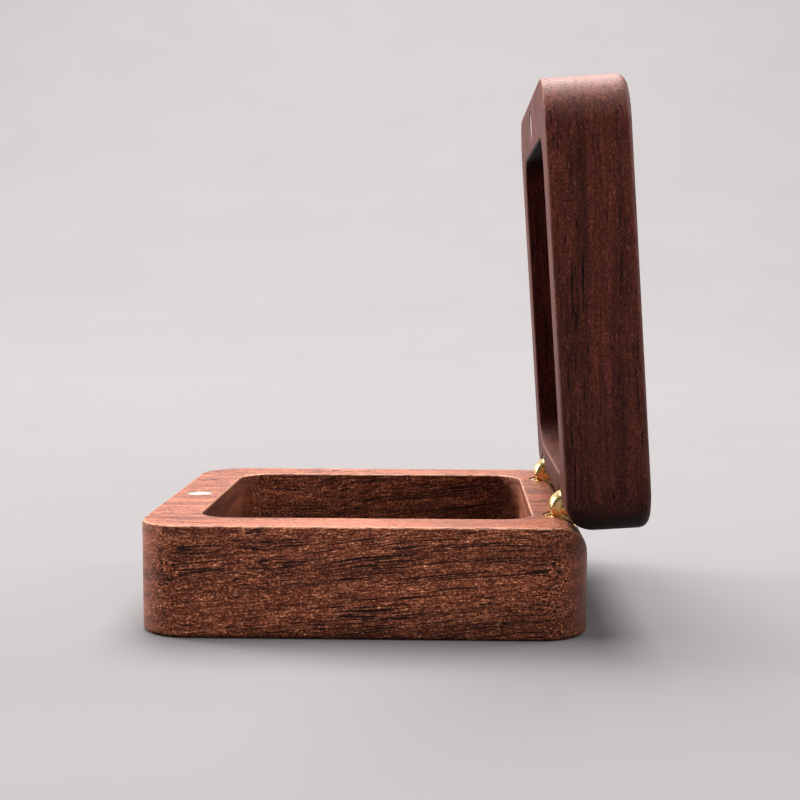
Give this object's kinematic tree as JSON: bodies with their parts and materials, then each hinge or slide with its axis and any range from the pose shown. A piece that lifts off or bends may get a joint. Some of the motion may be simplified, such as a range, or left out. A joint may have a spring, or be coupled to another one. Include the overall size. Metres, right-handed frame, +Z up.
{
  "type": "ring box",
  "caption": "Small square walnut ring box standing open: two milled wooden halves on brass barrel hinges, magnet closure and a soft ring insert.",
  "frame": {"origin": "middle of the flat bottom face of the base, which stands on the table", "axes": "+Z up, front (magnet side) towards -Y, hinges along X at the rear (+Y)"},
  "size_m": [0.06, 0.068, 0.074],
  "materials": {
    "walnut_base": "oiled walnut, open pores, satin",
    "walnut_lid": "oiled darker walnut, satin",
    "hinge_brass": "polished brass",
    "magnet_nickel": "bright nickel plating",
    "insert_card": "matt black card",
    "pad_suede": "charcoal suede cloth over foam"
  },
  "bodies": {
    "base": {"base_box": "walnut_base", "base_magnet": "magnet_nickel", "insert_board": "insert_card", "ring_pad_front": "pad_suede", "ring_pad_rear": "pad_suede", "hinge_left_base_barrel": "hinge_brass", "hinge_left_pin": "hinge_brass", "hinge_right_base_barrel": "hinge_brass", "hinge_right_pin": "hinge_brass"},
    "lid": {"lid_box": "walnut_lid", "lid_magnet": "magnet_nickel", "hinge_left_lid_barrel": "hinge_brass", "hinge_right_lid_barrel": "hinge_brass"}
  },
  "joints": [
    {"name": "lid_hinge", "type": "hinge", "parent": "base", "child": "lid", "pos_m": [0, 0.02755, 0.016], "axis": [-1, 0, 0], "range_deg": [-86.2, 8.8]}
  ]
}
